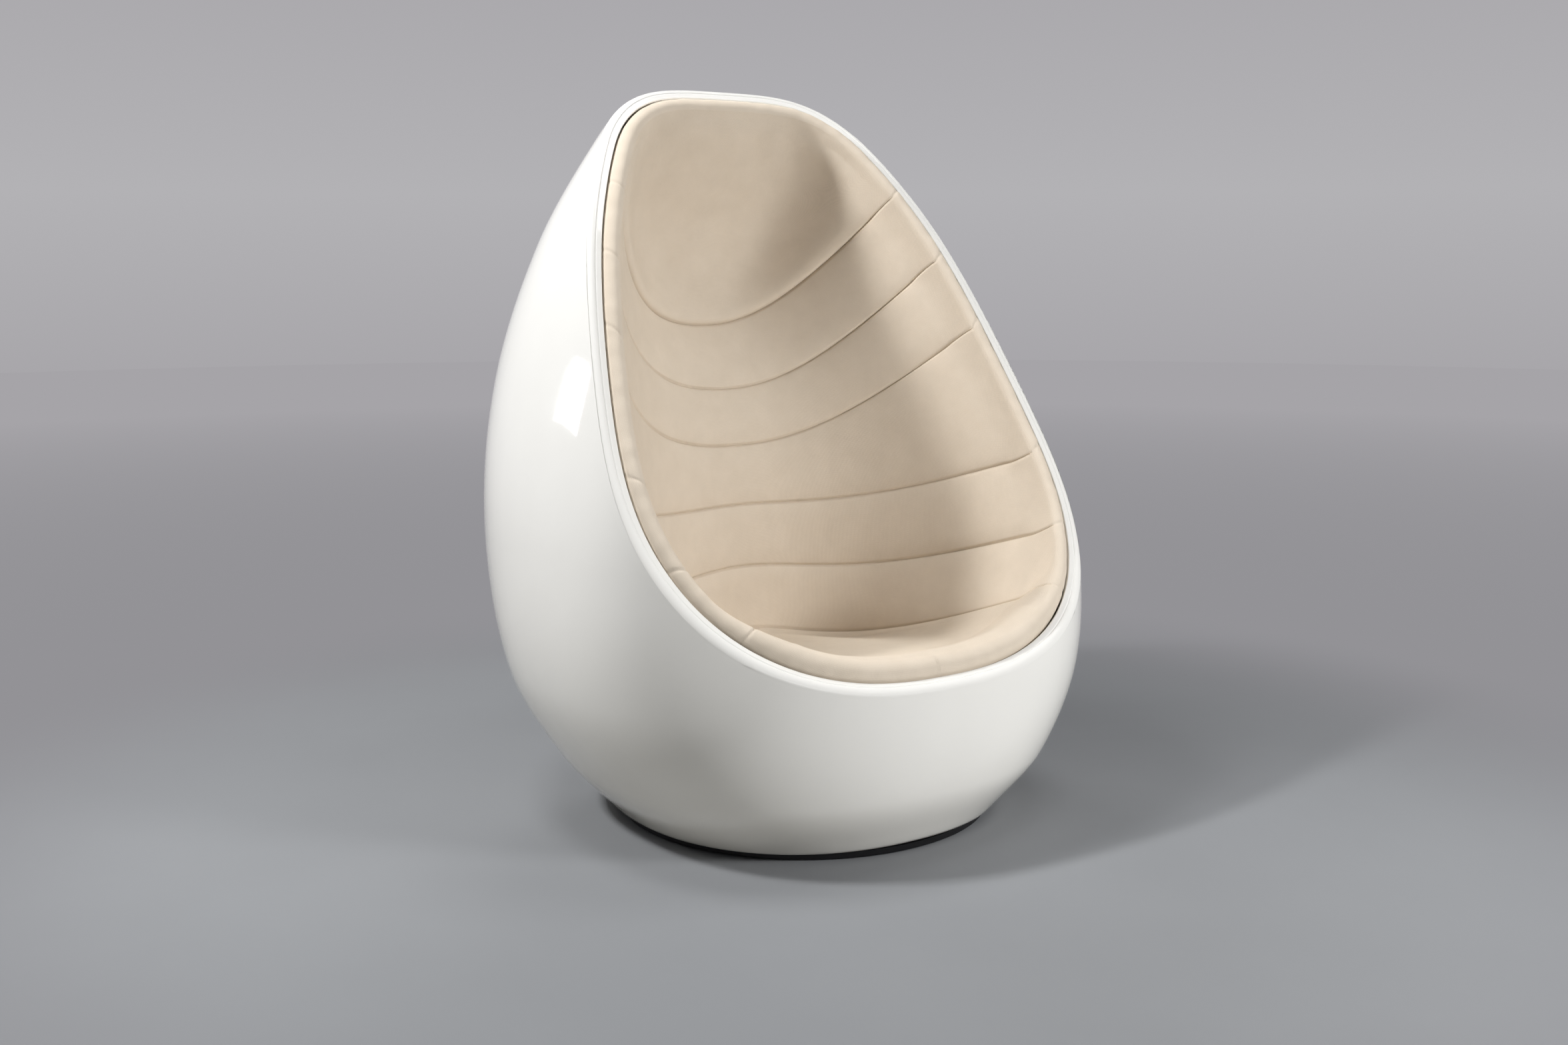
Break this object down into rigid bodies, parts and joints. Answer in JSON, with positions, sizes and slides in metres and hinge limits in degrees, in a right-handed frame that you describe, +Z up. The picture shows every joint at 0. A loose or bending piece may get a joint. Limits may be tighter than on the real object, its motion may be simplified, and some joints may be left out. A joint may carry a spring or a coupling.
{
  "type": "pod chair",
  "caption": "Egg-shaped swivelling pod chair: a glossy leaning shell with a wide slanted opening, a channelled padded bucket inside and a low round floor disc.",
  "frame": {"origin": "centre of the floor disc's underside, on the floor, on the swivel axis", "axes": "+Z up along the swivel axis; -Y is the chair's front, the side that the opening faces; +X is the right of somebody who looks into the opening"},
  "size_m": [1.0366, 1.0259, 1.2885],
  "materials": {
    "white_gelcoat": "high gloss white gelcoat over glass fibre",
    "cream_cloth": "cream woven wool cloth over foam, plain seams",
    "black_lacquer": "satin black lacquer on board",
    "rubber_sheet": "matt black rubber",
    "zinc_steel": "zinc plated steel",
    "ball_steel": "polished bearing steel",
    "cage_brass": "thin brass sheet",
    "birch_ply": "raw birch plywood",
    "raw_fibre": "raw glass fibre laminate"
  },
  "bodies": {
    "base": {"floor_sheet": "rubber_sheet", "floor_disc": "black_lacquer", "lower_race": "zinc_steel", "lower_race_screws": "zinc_steel"},
    "pod": {"upper_race": "zinc_steel", "bearing_balls": "ball_steel", "ball_cage": "cage_brass", "pod_bolts": "zinc_steel", "pod_t_nuts": "zinc_steel", "outer_shell": "white_gelcoat", "floor_board": "birch_ply", "seat_rib_left": "birch_ply", "seat_rib_right": "birch_ply", "seat_rib_cross": "birch_ply", "inner_liner": "raw_fibre", "edge_roll": "cream_cloth", "seat_pad": "cream_cloth", "back_pad_1": "cream_cloth", "back_pad_2": "cream_cloth", "back_pad_3": "cream_cloth", "back_pad_4": "cream_cloth", "back_pad_5": "cream_cloth", "head_pad": "cream_cloth"}
  },
  "joints": [
    {"name": "swivel", "type": "hinge", "parent": "base", "child": "pod", "pos_m": [0, 0, 0.016], "axis": [0, 0, 1], "continuous": true}
  ]
}
